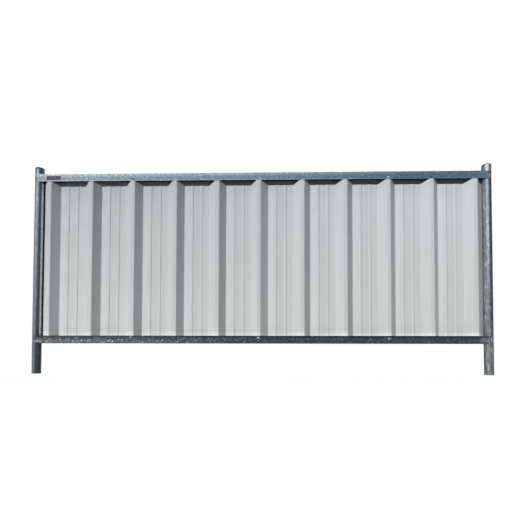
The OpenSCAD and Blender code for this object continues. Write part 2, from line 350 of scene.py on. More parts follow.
posts = {
    # colours round each post, by degrees from its front towards +X, holding painted highlights
    # and painted shade, black on the left post's side towards the sheet: the stub above the top
    # rail, the upper and the lower end
    "leftStub": (
        (-75, (0.15, 0.17, 0.19)), (-38, (0.075, 0.09, 0.1)), (-14, (0.15, 0.185, 0.24)),
        (-2, (0.41, 0.45, 0.48)), (9, (0.4, 0.44, 0.46)), (19, (0.16, 0.19, 0.19)),
        (29, (0.07, 0.095, 0.11)), (60, (0.08, 0.125, 0.155)), (110, (0.08, 0.12, 0.15)),
        (140, (0.18, 0.21, 0.23)),
    ),
    "leftHigh": (
        (-75, (0.18, 0.21, 0.23)), (-50, (0.1, 0.115, 0.13)), (-23, (0.123, 0.152, 0.18)),
        (-8, (0.28, 0.338, 0.408)), (2, (0.312, 0.38, 0.447)), (12, (0.24, 0.308, 0.366)),
        (22, (0.095, 0.13, 0.155)), (36, (0.06, 0.09, 0.113)), (50, (0.095, 0.135, 0.17)),
        (82, (0.11, 0.13, 0.15)), (94, (0.014, 0.017, 0.019)), (130, (0.014, 0.017, 0.019)),
        (150, (0.18, 0.21, 0.23)),
    ),
    "leftLow": (
        (-75, (0.15, 0.17, 0.18)), (-50, (0.08, 0.091, 0.098)), (-18, (0.136, 0.156, 0.166)),
        (0, (0.105, 0.122, 0.13)), (12, (0.046, 0.058, 0.064)), (28, (0.053, 0.068, 0.076)),
        (58, (0.098, 0.115, 0.113)), (80, (0.075, 0.082, 0.074)), (95, (0.012, 0.014, 0.014)),
        (130, (0.012, 0.014, 0.014)), (150, (0.15, 0.17, 0.18)),
    ),
    "rightStub": (
        (-140, (0.18, 0.21, 0.23)), (-110, (0.07, 0.078, 0.075)), (-83, (0.083, 0.095, 0.09)),
        (-65, (0.163, 0.174, 0.16)), (-50, (0.165, 0.178, 0.172)), (-37, (0.47, 0.5, 0.485)),
        (-24, (0.62, 0.66, 0.655)), (-11, (0.54, 0.58, 0.62)), (3, (0.206, 0.241, 0.275)),
        (20, (0.106, 0.125, 0.149)), (50, (0.07, 0.085, 0.1)), (80, (0.18, 0.21, 0.23)),
    ),
    "rightHigh": (
        (-140, (0.18, 0.21, 0.23)), (-105, (0.08, 0.09, 0.091)), (-87, (0.12, 0.141, 0.136)),
        (-65, (0.18, 0.203, 0.2)), (-42, (0.17, 0.186, 0.189)), (-28, (0.148, 0.168, 0.18)),
        (-16, (0.148, 0.173, 0.194)), (-3, (0.085, 0.107, 0.131)), (10, (0.038, 0.052, 0.065)),
        (50, (0.035, 0.048, 0.06)), (80, (0.18, 0.21, 0.23)),
    ),
    "rightLow": (
        (-140, (0.15, 0.17, 0.18)), (-112, (0.035, 0.041, 0.039)), (-92, (0.06, 0.068, 0.065)),
        (-74, (0.12, 0.131, 0.126)), (-57, (0.16, 0.172, 0.17)), (-43, (0.15, 0.162, 0.166)),
        (-29, (0.146, 0.161, 0.171)), (-12, (0.145, 0.162, 0.176)), (15, (0.12, 0.132, 0.143)),
        (50, (0.08, 0.09, 0.098)), (80, (0.15, 0.17, 0.18)),
    ),
    # heights between which the lower colours turn into the upper ones
    "zFade": {"left": (0.15, 0.85), "right": (0.11, 0.28)},
    "contrast": {"left": 0.15, "right": 0.34}, "specks": {"left": 0.25, "right": 0.8},
    # painted reflection of the sheet: a pale band on the left post's inner side, between the rails
    "run": (52, 59, 78, 86), "sheetReflection": (0.78, 0.87, 0.87), "sheetReflectionFade": 0.006,
    # painted highlight line on the right post's front, broken by rings; it grows over lineFade's
    # span
    "ring": 0.009, "ringSize": 0.5, "line": 1.25, "lineSide": (-46, -28, -11, 2),
    "lineFade": (0.33, 0.66),
    # shadow line under the caps; edgeFade is the fade of it and of the stub's lower edge
    "rim": (0.02, 0.024, 0.027), "rimHeight": 0.0034, "edgeFade": 0.001,
    "rimSide": {"left": (-180, -179, 179, 180), "right": (-150, -130, -66, -46)},
    # scorched zinc at the left post's upper weld, by degrees and by height over the leg's foot
    "scorch": (0.016, 0.013, 0.012), "scorchSide": (-24, -15, 10, 20),
    "scorchHeight": (-0.001, 0.001, 0.014, 0.021),
}
zinc = {
    "postCrystals": 150, "postStretch": 0.35,
    "mottle": (4, 0.7), "mottleSpan": (0.34, 0.66),  # noise at the scale of the crystals
    "speckSpan": (0.78, 0.95),
    "rough": (0.42, 0.56), "wear": (40, 5), "bump": 0.00014, "relief": ((130, 5, 0.6),),
    "shader": {"Specular IOR Level": 0.15},
}


def colourAlong(tree, value, low, high, stops):
    # the colour at a value, in straight lines between stops (value, colour)
    made = addNode(tree, "ValToRGB", {"Fac": ramp(tree, value, low, high)})
    line = made.color_ramp
    places = [(at - low) / (high - low) for at, _ in stops]
    line.elements[0].position, line.elements[1].position = places[0], places[-1]
    line.elements[0].color, line.elements[1].color = (*stops[0][1], 1), (*stops[-1][1], 1)
    for place, (_, tint) in list(zip(places, stops))[1:-1]:
        line.elements.new(place).color = (*tint, 1)
    return made.outputs["Color"]


def within(tree, value, a, b, c, d):
    # rises from 0 at a to 1 at b, and falls from 1 at c to 0 at d
    return times(tree, ramp(tree, value, a, b), ramp(tree, value, d, c))


def zincFinish(name, colour, crystals, contrast, specks, stretch=1.0, calm=()):
    # crystals multiply the colour by 1 - contrast to 1 + contrast, in two sizes of patch,
    # and a fifth of them are specks, up to 1 + specks times as bright. Each row (axis, start,
    # full, amount) of calm takes that amount of the mottle away past the place full
    def mottled(tree):
        patch = patches(tree, (crystals, *zinc["mottle"], stretch), zinc["mottleSpan"],
                        (1 - contrast, 1 + contrast))
        place = objectPlace(tree, stretch)
        crystal = addNode(tree, "TexVoronoi", {"Vector": place, "Scale": crystals})
        tone = addNode(tree, "SeparateColor", {0: crystal.outputs["Color"]})
        facet = ramp(tree, tone.outputs[0], 0, 1, 1 - contrast / 2, 1 + contrast / 2)
        speck = ramp(tree, tone.outputs[1], *zinc["speckSpan"], 1, 1 + specks)
        plain = colour(tree)
        marked = blendColour(tree, 1.0, plain, times(tree, patch, facet, speck), "MULTIPLY")
        for axis, start, full, amount in calm:
            quiet = ramp(tree, axisValue(tree, axis), start, full, 0.0, amount)
            marked = blendColour(tree, quiet, marked, plain)
        return marked

    return newFinish(name, mottled, zinc)


def postZinc(side):
    # the colours round the post, with their painted highlights and shade, blended up it from the
    # lower ones to the upper ones and the stub's, under the left post's painted reflection and
    # weld scorch, the right post's painted highlight line, and the shadow line under the cap
    low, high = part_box(side + "_post")
    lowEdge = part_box("bottom_rail")[0].z + rails["low"]["leg"]
    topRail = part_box("top_rail")[1].z
    topEdge = topRail - rails["top"]["leg"]
    rimEdge = high.z - posts["rimHeight"]

    def colour(tree):
        z = axisValue(tree, 2)
        across = calculate(tree, "SUBTRACT", axisValue(tree, 0), (low.x + high.x) / 2)
        front = times(tree, axisValue(tree, 1), -1.0)
        degrees = times(tree, calculate(tree, "ARCTAN2", across, front), 180 / math.pi)
        lower, upper, stub = (colourAlong(tree, degrees, -180, 180, posts[side + part])
                              for part in ("Low", "High", "Stub"))
        base = blendColour(tree, ramp(tree, z, *posts["zFade"][side]), lower, upper)
        if side == "left":
            # painted reflection of the sheet on the left post's inner side, between the rails
            between = within(tree, z, lowEdge, lowEdge + posts["sheetReflectionFade"],
                             topEdge - posts["sheetReflectionFade"], topEdge)
            run = times(tree, within(tree, degrees, *posts["run"]), between)
            base = blendColour(tree, run, base, posts["sheetReflection"])
            heights = [topEdge + height for height in posts["scorchHeight"]]
            scorch = times(tree, within(tree, degrees, *posts["scorchSide"]),
                           within(tree, z, *heights))
            base = blendColour(tree, scorch, base, posts["scorch"])
        else:
            # painted highlight line: brightness = 1 + share * (line + ringSize * sin(2 pi z /
            # ring))
            turns = times(tree, z, 2 * math.pi / posts["ring"])
            rings = times(tree, calculate(tree, "SINE", turns), posts["ringSize"])
            share = times(tree, within(tree, degrees, *posts["lineSide"]),
                          ramp(tree, z, *posts["lineFade"]))
            line = times(tree, calculate(tree, "ADD", rings, posts["line"]), share)
            base = blendColour(tree, 1.0, base, calculate(tree, "ADD", line, 1.0), "MULTIPLY")
        base = blendColour(tree, ramp(tree, z, topRail, topRail + posts["edgeFade"]), base, stub)
        rim = times(tree, ramp(tree, z, rimEdge - posts["edgeFade"], rimEdge),
                    within(tree, degrees, *posts["rimSide"][side]))
        return blendColour(tree, rim, base, posts["rim"])

    return zincFinish(side + "PostZinc", colour, zinc["postCrystals"],
                      posts["contrast"][side], posts["specks"][side], zinc["postStretch"])


def railZinc(part):
    # a band's share is its strength times a rise from 0 at the first place to 1 at the second
    # on each axis that it names
    r = rails[part]
    low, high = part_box(r["node"])
    origin = {"x": 0, "y": 0, "z": high.z - r["leg"] if part == "top" else low.z}

    def colour(tree):
        share = ramp(tree, axisValue(tree, 0), *r["fade"])
        base = blendColour(tree, share, r["near"], r["far"])
        for band in r["bands"]:
            zones = [ramp(tree, axisValue(tree, "xyz".index(axis)),
                          *(origin[axis] + place for place in band[axis]))
                     for axis in "xyz" if axis in band]
            strength = ramp(tree, share, 0, 1, *band["strength"])
            base = blendColour(tree, times(tree, strength, *zones), base, band["colour"])
        return base

    return zincFinish(part + "RailZinc", colour, r["crystals"], r["contrast"], r["specks"],
                      calm=r["calm"])


# black plastic of the caps, greyed in patches
capPlastic = {
    "colour": (0.01, 0.012, 0.014), "worn": (0.026, 0.029, 0.032),
    "patch": (160, 5), "patchSpan": (0.45, 0.7),
    "rough": (0.6, 0.8), "wear": (90, 3), "bump": 0.0001, "relief": ((900, 2),),
    "shader": {"Specular IOR Level": 0.05},
}


# mesh helpers
def addPiece(name, points, faces, finishes, smooth=True):
    # points (n, 3) and arrays of triangles or quads go into a mesh as whole arrays
    mesh = bpy.data.meshes.new(name)
    sides = np.concatenate([np.full(len(group), group.shape[1]) for group in faces])
    loops = np.concatenate([group.ravel() for group in faces])
    mesh.vertices.add(len(points))
    mesh.vertices.foreach_set("co", np.ascontiguousarray(points, np.float32).ravel())
    mesh.loops.add(len(loops))
    mesh.loops.foreach_set("vertex_index", loops.astype(np.int32))
    mesh.polygons.add(len(sides))
    mesh.polygons.foreach_set("loop_start", (np.cumsum(sides) - sides).astype(np.int32))
    mesh.polygons.foreach_set("use_smooth", np.full(len(sides), smooth))
    mesh.update(calc_edges=True)
    mesh.validate()
    for finish in finishes:
        mesh.materials.append(finish)
    piece = bpy.data.objects.new(name, mesh)
    scene.collection.objects.link(piece)
    return piece


def gridQuads(rows, columns, wrap=False):
    # quads between the points of a grid kept row by row; wrap joins the last column to the first
    across = columns if wrap else columns - 1
    row, column = np.meshgrid(np.arange(rows - 1), np.arange(across), indexing="ij")
    right = (column + 1) % columns
    corners = (row * columns + column, row * columns + right,
               (row + 1) * columns + right, (row + 1) * columns + column)
    return np.stack(corners, -1).reshape(-1, 4)


def closedShell(rings):
    # rings (rows, columns, 3) joined row by row; the mean of the first ring and that of the
    # last one are the poles that close the shell, and its faces point outwards
    rows, columns = rings.shape[:2]
    poles = np.stack([rings[0].mean(0), rings[-1].mean(0)])
    points = np.vstack([rings.reshape(-1, 3), poles])
    here = np.arange(columns)
    after = (here + 1) % columns
    first = np.stack([after, here, np.full(columns, rows * columns)], 1)
    last = (rows - 1) * columns + np.stack([here, after, np.full(columns, columns + 1)], 1)
    return points, *outward(points, gridQuads(rows, columns, True), np.vstack([first, last]))


def outward(points, quads, triangles):
    # the shell's signed volume is the sum of a . (b x c) / 6; a negative one is turned over
    halves = np.vstack([quads[:, [0, 1, 2]], quads[:, [0, 2, 3]], triangles])
    a, b, c = (points[halves[:, i]] - points.mean(0) for i in range(3))
    if np.einsum("ij,ij->i", a, np.cross(b, c)).sum() < 0:
        return quads[:, ::-1], triangles[:, ::-1]
    return quads, triangles


def repeatShell(points, quads, triangles, frames, places):
    # copies of one shell: point = place + frame @ point, for each frame (3, 3) and place
    every = np.einsum("kij,nj->kni", frames, points) + places[:, None]
    steps = np.arange(len(places))[:, None, None] * len(points)
    return (every.reshape(-1, 3), (quads[None] + steps).reshape(-1, 4),
            (triangles[None] + steps).reshape(-1, 3))


def bakeModifiers(piece, angle):
    # the modifiers' result becomes the mesh, and edges over the angle are marked sharp
    graph = bpy.context.evaluated_depsgraph_get()
    mesh = bpy.data.meshes.new_from_object(piece.evaluated_get(graph))
    piece.modifiers.clear()
    piece.data = mesh
    mesh.set_sharp_from_angle(angle=math.radians(angle))


# the two profiled sheets, rolled with rounded bends and two ribs in each wide flange
sheet = {
    # each wave has a front flange (crest), two slopes (webs) and a wide flange (pan) with ribs
    "pitch": 0.207, "waves": 5, "crest": 0.02, "webRun": 0.0315, "depth": 0.035,
    "thickness": 0.0006, "bend": 0.003, "bendSteps": 5, "sharp": 40,
    "leftRib": 0.002, "rightRib": 0.0024, "ribFoot": 0.013, "ribTop": 0.008,
    "ribOffset": 0.0235, "ribBend": 0.0012,
    "lipRun": 0.02, "lapPull": 0.005, "lapGap": 0.00003,  # where the right sheet laps over
    # from the left post to the first crest, X of the left edge, and reach at the right one
    "leftGap": 0.029, "firstEdge": 0.0171, "edgeReach": 0.0018,
    # height of the tongues, and how far the top edge beside them lies under the rail's leg
    "tongue": 0.02, "tongueEdge": 0.001, "tongueSlack": 1e-7,
    "webDrop": 0.0005, "panDrop": 0.0115,
    # the mesh: columns along the path, rows up the sheet and up the tongues
    "stepAlong": 0.01, "leastStep": 1e-6, "rows": 44, "tongueRows": 3,
    # swell of the wide flanges: its size, and for each of its sines the span of waves up the
    # sheet and of shares of the size; it dies away over 1 / calmEnds of the height
    "swell": 0.00018, "sines": 3, "pans": 16, "swellWaves": (1.5, 5.0),
    "swellShare": (0.2, 1.0), "calmEnds": 12, "seed": 7,
}


def roundedPath(corners, radius, steps):
    # each inner corner becomes an arc: its ends lie radius * tan(turn / 2) from the corner,
    # its centre lies the radius aside of them, and the angle runs evenly over the turn
    before, corner, after = corners[:-2], corners[1:-1], corners[2:]
    angleIn = np.arctan2(*(corner - before).T[::-1])
    turn = np.arctan2(*(after - corner).T[::-1]) - angleIn
    side = np.sign(turn)
    back = radius * np.tan(np.abs(turn) / 2)
    start = corner - back[:, None] * np.stack([np.cos(angleIn), np.sin(angleIn)], 1)
    normal = np.stack([-np.sin(angleIn), np.cos(angleIn)], 1)
    centre = start + (side * radius)[:, None] * normal
    angle = angleIn[:, None] + turn[:, None] * np.linspace(0, 1, steps + 1)
    radial = np.stack([-np.sin(angle), np.cos(angle)], -1)
    arcs = centre[:, None] - (side * radius)[:, None, None] * radial
    return np.vstack([corners[:1], arcs.reshape(-1, 2), corners[-1:]])


def sheetCorners(s, firstPull, lastPull, nested, startX, endX):
    # corners (x, depth) and bend radii; x is measured from the first pitch point.
    # The left sheet starts with a strip of wide flange from startX and a whole web, and ends
    # nested behind the lap; the right one starts with its lip and ends with a strip to endX
    half, rise, waves = s["crest"] / 2, s["depth"] - s["thickness"], s["waves"]
    rib = np.array([-s["ribFoot"] / 2, -s["ribTop"] / 2, s["ribTop"] / 2, s["ribFoot"] / 2])
    ribDepth = rise - np.array([0, 1, 1, 0]) * s["leftRib" if nested else "rightRib"]
    middle = s["pitch"] / 2
    x = np.concatenate([[-half, half, half + s["webRun"]], middle - s["ribOffset"] + rib,
                        middle + s["ribOffset"] + rib, [s["pitch"] - half - s["webRun"]]])
    depth = np.concatenate([[0, 0, rise], ribDepth, ribDepth, [rise]])
    bend = np.concatenate([[s["bend"]] * 3, [s["ribBend"]] * 2 * len(rib), [s["bend"]]])
    wave = np.arange(waves)[:, None] * s["pitch"] + x
    run = s["waves"] * s["pitch"]

    def nest(webRun):
        # sideways shift that lays a web against one a sheet's thickness in front of it
        return s["thickness"] * (math.hypot(webRun, rise) - webRun) / rise + s["lapGap"]

    left = nest(s["webRun"] - lastPull) if nested else 0
    right = nest(s["webRun"] + lastPull) if nested else 0
    wave[0, :2] -= firstPull
    wave[-1, -1] += left
    last = run - lastPull + np.array([-half + left, half - right])
    lipDepth = rise * s["lipRun"] / (s["webRun"] - firstPull)
    end = last[1] + s["webRun"] + lastPull
    lead = [startX, wave[0, 0] - s["webRun"]] if nested else [wave[0, 0] - s["lipRun"]]
    leadDepth = [rise, rise] if nested else [lipDepth]
    tail = [end] if nested else [end, endX]
    xs = np.concatenate([lead, wave.ravel(), last, tail])
    depths = np.concatenate([leadDepth, np.tile(depth, waves), [0, 0], [rise] * len(tail)])
    bends = np.concatenate([[s["bend"]] * (len(lead) - 1), np.tile(bend, waves),
                            [s["bend"]] * (len(tail) + 1)])
    return np.stack([xs, depths], 1), bends


def topKeys(crests, s):
    # corners of the top edge between two front flanges: web corner, slope down, wide flange,
    # slope up; their x, and how far they lie under the rail's leg
    half, run = s["crest"] / 2 + s["tongueEdge"], s["webRun"]
    a, b = crests[:-1] + half, crests[1:] - half
    keys = np.stack([a, a + run, b - run, b], 1).ravel()
    return keys, np.tile([s["webDrop"], s["panDrop"], s["panDrop"], s["webDrop"]], len(a))


def columnsAlong(path, keys, s):
    # x and depth of the mesh's columns: the path's points, the top edge's corners, and even
    # steps along the path where no point of it is near
    lengths = np.concatenate([[0], np.cumsum(np.hypot(*np.diff(path, axis=0).T))])
    inside = keys[(keys > path[0, 0]) & (keys < path[-1, 0])]
    keyLengths = np.interp(inside, path[:, 0], lengths)
    even = np.arange(s["stepAlong"], lengths[-1], s["stepAlong"])
    even = even[np.abs(even[:, None] - lengths[None]).min(1) > s["stepAlong"] / 4]
    stations = np.union1d(np.union1d(lengths, keyLengths), even)
    stations = stations[np.concatenate([[True], np.diff(stations) > s["leastStep"]])]
    return (np.interp(stations, lengths, path[:, i]) for i in (0, 1))


def panSwell(x, share, s, seed):
    # a wide flange bows by sin(pi * share across it) ^ 2 times the sum of slow sines
    # size * sin(2 pi * waves * share of the height + phase)
    rng = np.random.default_rng(seed)
    panLeft = s["crest"] / 2 + s["webRun"]
    panWidth = s["pitch"] - 2 * panLeft
    wave = np.floor(x / s["pitch"]).astype(int)
    inPan = np.clip((x - wave * s["pitch"] - panLeft) / panWidth, 0, 1)
    bow = np.sin(math.pi * inPan) ** 2
    drawn = s["sines"], s["pans"]
    waves = rng.uniform(*s["swellWaves"], drawn)
    phase = rng.uniform(0, 2 * math.pi, drawn)
    size = rng.uniform(*s["swellShare"], drawn) * s["swell"]
    pick = wave % s["pans"]
    swell = sum(size[i, pick] * np.sin(waves[i, pick] * 2 * math.pi * share + phase[i, pick])
                for i in range(s["sines"]))
    ends = np.clip(np.minimum(share, 1 - share) * s["calmEnds"], 0, 1)
    return swell * bow * ends


def tongueMesh(points, x, top, tongueTop, crests, s):
    # the grid's top points on the front flanges are lifted in even rows to the tongues' top,
    # and quads join them where neighbours lie on one flange
    gap = np.abs(x[None] - crests[:, None]).min(0)
    members = np.flatnonzero(gap <= s["crest"] / 2 + s["tongueEdge"] + s["tongueSlack"])
    lift = np.linspace(0, 1, s["tongueRows"] + 1)[1:, None]
    z = top[members] + lift * (tongueTop - top[members])
    across = np.broadcast_to(points[-1, members, :2], (*z.shape, 2))
    tongue = np.concatenate([across, z[..., None]], -1)
    rows, columns = points.shape[:2]
    slot = np.vstack([(rows - 1) * columns + members,
                      rows * columns + np.arange(z.size).reshape(z.shape)])
    pair = np.flatnonzero(np.diff(members) == 1)
    quads = np.stack([slot[:-1, pair], slot[:-1, pair + 1],
                      slot[1:, pair + 1], slot[1:, pair]], -1)
    return tongue.reshape(-1, 3), quads.reshape(-1, 4)


def addSheet(name, node, pitchStart, faceY, firstPull, lastPull, nested, finishes, seed):
    # the rounded path carried straight up to the top edge, with tongues over it, and then
    # given its thickness to both sides
    s = sheet
    low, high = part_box(node)
    startX = s["firstEdge"] - pitchStart
    endX = high.x + s["edgeReach"] - pitchStart
    corners, bends = sheetCorners(s, firstPull, lastPull, nested, startX, endX)
    path = roundedPath(corners, bends, s["bendSteps"])
    ids = np.arange(-1, s["waves"] + 2)
    crests = ids * s["pitch"] - (ids == 0) * firstPull - (ids == s["waves"]) * lastPull
    keys, drops = topKeys(crests, s)
    x, depth = columnsAlong(path, keys, s)
    top = high.z - s["tongue"] - np.interp(x, keys, drops)
    share = np.linspace(0, 1, s["rows"])[:, None]
    z = low.z + share * (top - low.z)
    y = faceY + s["thickness"] / 2 + depth + panSwell(x, share, s, seed)
    points = np.stack(np.broadcast_arrays(pitchStart + x, y, z), -1)
    tongue, tongueQuads = tongueMesh(points, x, top, high.z, crests, s)
    faces = np.vstack([gridQuads(s["rows"], len(x)), tongueQuads])
    piece = addPiece(name, np.vstack([points.reshape(-1, 3), tongue]), [faces], finishes)
    wall = piece.modifiers.new("wall", "SOLIDIFY")
    wall.thickness = s["thickness"]
    wall.offset = 0
    wall.use_even_offset = True
    wall.material_offset_rim = 1
    bakeModifiers(piece, s["sharp"])
    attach(piece, "root")
    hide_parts(node)


# bare cut edge of the sheets
cutEdge = {
    "colour": (0.62, 0.64, 0.63), "worn": (0.74, 0.75, 0.74),
    "patch": (300, 3), "patchSpan": (0.3, 0.7),
    "rough": (0.4, 0.6), "wear": (200, 3), "bump": 0.00005, "relief": ((1500, 2),),
    "shader": {},
}

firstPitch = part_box("left_post")[1].x + sheet["leftGap"] + sheet["crest"] / 2
lapX = firstPitch + sheet["waves"] * sheet["pitch"]
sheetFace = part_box("right_sheet")[0].y
sheetFinishes = sheetCoating(), newFinish("sheetCutEdge", patchy(cutEdge), cutEdge)
addSheet("profiled_sheet_left", "left_sheet", firstPitch, sheetFace + sheet["thickness"],
         0, sheet["lapPull"], True, sheetFinishes, sheet["seed"])
addSheet("profiled_sheet_right", "right_sheet", lapX, sheetFace,
         sheet["lapPull"], 0, False, sheetFinishes, sheet["seed"] + 1)
print("sheets made")


# weld beads up the joints of posts and rails: tubes with crescent ripples and round ends
bead = {
    "radius": 0.0025, "ripple": 0.0023, "rippleSize": 0.00028, "arch": 0.0011,
    "wander": 0.0003, "rings": 110, "capRings": 6, "sides": 16, "seed": 31,
    # the ripples' size varies by this share; turns are drawn in radians per metre
    "uneven": 0.4, "unevenTurns": (300, 500), "wanderTurns": (120, 320), "phase": (0, 6),
    # colours of each joint's beads at the lower end and at the upper end; the pale lower ends
    # of the right joints' beads are zinc spray and a painted highlight
    "top_left": ((0.3, 0.32, 0.33), (0.36, 0.4, 0.41)),
    "top_right": ((0.6, 0.63, 0.65), (0.42, 0.45, 0.48)),
    "bottom_left": ((0.09, 0.1, 0.11), (0.2, 0.21, 0.21)),
    "bottom_right": ((0.95, 0.95, 0.93), (0.35, 0.37, 0.39)),
    # patches of stain leave this share of the brightness
    "patch": (380, 4, 0.65), "patchSpan": (0.36, 0.64), "darkened": (0.45, 1.0),
    "rough": (0.38, 0.55), "wear": (200, 3), "bump": 0.00012, "relief": ((700, 4, 0.65),),
    "shader": {"Specular IOR Level": 0.15},
}


def addBead(name, node, seed, finish):
    # half-round ends times (radius - rippleSize * uneven * (1 + sin(turns)) / 2), where turns
    # = 2 pi (z + arch * cos(angle)) / ripple, about a middle line that drifts in two sines
    b = bead
    r = b["radius"]
    low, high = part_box(node)
    x = low.x + r if low.x < middleX else high.x - r
    y = low.y + r if low.y < 0 else high.y - r
    rng = np.random.default_rng(seed)
    bend = np.linspace(0, math.pi / 2, b["capRings"] + 1)[1:]
    z = np.concatenate([low.z + r - r * np.cos(bend),
                        np.linspace(low.z + r, high.z - r, b["rings"])[1:-1],
                        high.z - r + r * np.cos(bend[::-1])])
    wide = np.concatenate([np.sin(bend), np.ones(b["rings"] - 2), np.sin(bend[::-1])])
    angle = np.linspace(0, 2 * math.pi, b["sides"], endpoint=False)
    turns = 2 * math.pi * (z[:, None] + b["arch"] * np.cos(angle)) / b["ripple"]
    uneven = 1 + b["uneven"] * np.sin(z * rng.uniform(*b["unevenTurns"])
                                      + rng.uniform(*b["phase"]))
    size = wide[:, None] * (r - b["rippleSize"] * (1 + np.sin(turns)) * uneven[:, None] / 2)
    drift = [b["wander"] * wide * np.sin(z * rng.uniform(*b["wanderTurns"])
                                         + rng.uniform(*b["phase"])) for _ in range(2)]
    rings = np.stack(np.broadcast_arrays(
        x + drift[0][:, None] + size * np.cos(angle),
        y + drift[1][:, None] + size * np.sin(angle), z[:, None]), -1)
    points, *faces = closedShell(rings)
    piece = addPiece(name, points, faces, [finish])
    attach(piece, "root")
    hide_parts(node)


def weldFinish(joint):
    # a plain fade of two colours up the joint, times the brightness that stains leave
    low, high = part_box("weld_" + joint + "_front")

    def colour(tree):
        share = ramp(tree, axisValue(tree, 2), low.z, high.z)
        fade = blendColour(tree, share, *bead[joint])
        darkening = patches(tree, bead["patch"], bead["patchSpan"], bead["darkened"])
        return blendColour(tree, 1.0, fade, darkening, "MULTIPLY")

    return newFinish("weldZinc_" + joint, colour, bead)


joints = [rail + "_" + side for rail in ("bottom", "top") for side in ("left", "right")]
for i, joint in enumerate(joints):
    beadFinish = weldFinish(joint)
    for k, face in enumerate(("back", "front")):
        addBead("weld_bead_" + joint + "_" + face, "weld_" + joint + "_" + face,
                bead["seed"] + 2 * i + k, beadFinish)
print("weld beads made")


# blind rivets: three through each rail's leg and a tongue, and a small one through the lap
rivet = {
    # outline (radius, height over the seat): broken mandrel, hole, dome, rim, shank, tail
    "outline": ((0.0004, 0.0009), (0.0009, 0.0009), (0.00095, 0.00165), (0.00115, 0.0019),
                (0.002, 0.00182), (0.003, 0.00158), (0.0039, 0.00118), (0.0045, 0.00072),
                (0.0048, 0.00038), (0.00475, 0.0001), (0.00455, 0.0), (0.0024, 0.0),
                (0.0024, -0.0034), (0.0031, -0.0037), (0.0036, -0.0045), (0.0034, -0.0055),
                (0.0025, -0.0063), (0.001, -0.0066)),
    "sides": 28,
    # the crests with rivets, counted from the left, the rivets' X from them, and their heights
    "crests": (2, 5, 8),
    "topAside": (0.0035, 0.004, -0.001), "topHeight": (0.954, 0.9525, 0.954),
    "lowAside": (0.0, -0.004, -0.001), "lowHeight": (0.178, 0.176, 0.1725),
    "stitchSize": 0.55, "stitchAt": (-0.0172, 0.571),  # X from the lap's crest, and height
    # brightness of each rail's rivets from left to right, and of the one through the lap
    "topTone": ((0, 0.16), (0.45, 0.16), (0.5, 0.75), (1, 1.1)),
    "lowTone": ((0, 0.5), (0.3, 0.55), (0.45, 0.9), (1, 1.0)),
    "colour": (0.49, 0.465, 0.465), "worn": (0.2, 0.19, 0.195),
    "patch": (420, 4, 0.6), "patchSpan": (0.42, 0.7), "sharp": 50,
    "rough": (0.3, 0.46), "wear": (300, 3), "bump": 0.00006, "relief": ((900, 3),),
    "shader": {"Metallic": 1.0},
}


def rivetMetal(name, tones):
    # bright metal that is dull in patches, times the tone at this share of the panel's length
    def colour(tree):
        share = ramp(tree, axisValue(tree, 0), cadLow.x, cadHigh.x)
        tone = colourAlong(tree, share, 0, 1, [(at, (grey, grey, grey)) for at, grey in tones])
        return blendColour(tree, 1.0, patchy(rivet)(tree), tone, "MULTIPLY")

    return newFinish(name, colour, rivet)


def addRivets(name, normals, places, size, finish):
    # the outline turned about the rivet's axis, repeated with that axis along each normal
    outline = np.array(rivet["outline"]) * size
    angle = np.linspace(0, 2 * math.pi, rivet["sides"], endpoint=False)
    rings = np.stack(np.broadcast_arrays(
        outline[:, :1] * np.cos(angle), outline[:, :1] * np.sin(angle), outline[:, 1:]), -1)
    normals = np.array(normals)
    across = np.cross(normals, (0, 0, 1.0))
    frames = np.stack([across, np.cross(normals, across), normals], -1)
    points, *faces = repeatShell(*closedShell(rings), frames, np.array(places))
    piece = addPiece(name, points, faces, [finish])
    piece.data.set_sharp_from_angle(angle=math.radians(rivet["sharp"]))
    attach(piece, "root")


crestX = firstPitch + np.array(rivet["crests"]) * sheet["pitch"]
for part in ("top", "low"):
    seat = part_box(rails[part]["node"])[0].y
    places = np.column_stack([crestX + rivet[part + "Aside"], np.full(len(crestX), seat),
                              rivet[part + "Height"]])
    addRivets(part + "_rail_rivets", [(0, -1.0, 0)] * len(crestX), places, 1.0,
              rivetMetal(part + "RivetMetal", rivet[part + "Tone"]))
lipSlope = sheet["depth"] / sheet["webRun"]
lipNormal = np.array([-lipSlope, -1.0, 0]) / math.hypot(lipSlope, 1)
stitchX, stitchZ = rivet["stitchAt"]
lipY = sheetFace - (stitchX + sheet["crest"] / 2) * lipSlope
addRivets("lap_rivet", [lipNormal], [(lapX + stitchX, lipY, stitchZ)],
          rivet["stitchSize"], rivetMetal("lapRivetMetal", rivet["lowTone"]))
print("rivets made")


# plain film label on the top rail's front leg, without any print
label = {
    # low is its lower left corner (x, z)
    "low": (0.047, 0.951), "size": (0.07, 0.02), "corner": 0.0016, "thickness": 0.00018,
    "edge": 0.00006, "arcSteps": 6, "sharp": 30,
    "colour": (0.034, 0.036, 0.105), "worn": (0.065, 0.072, 0.15),
    # scuffs and a little dust, finer up the leg than along it
    "patch": (160, 5, 0.62, 2.5), "patchSpan": (0.46, 0.72),
    "rough": (0.38, 0.55), "wear": (120, 3), "bump": 0.0001, "relief": ((70, 3),),
    "shader": {"Specular IOR Level": 0.15},
}


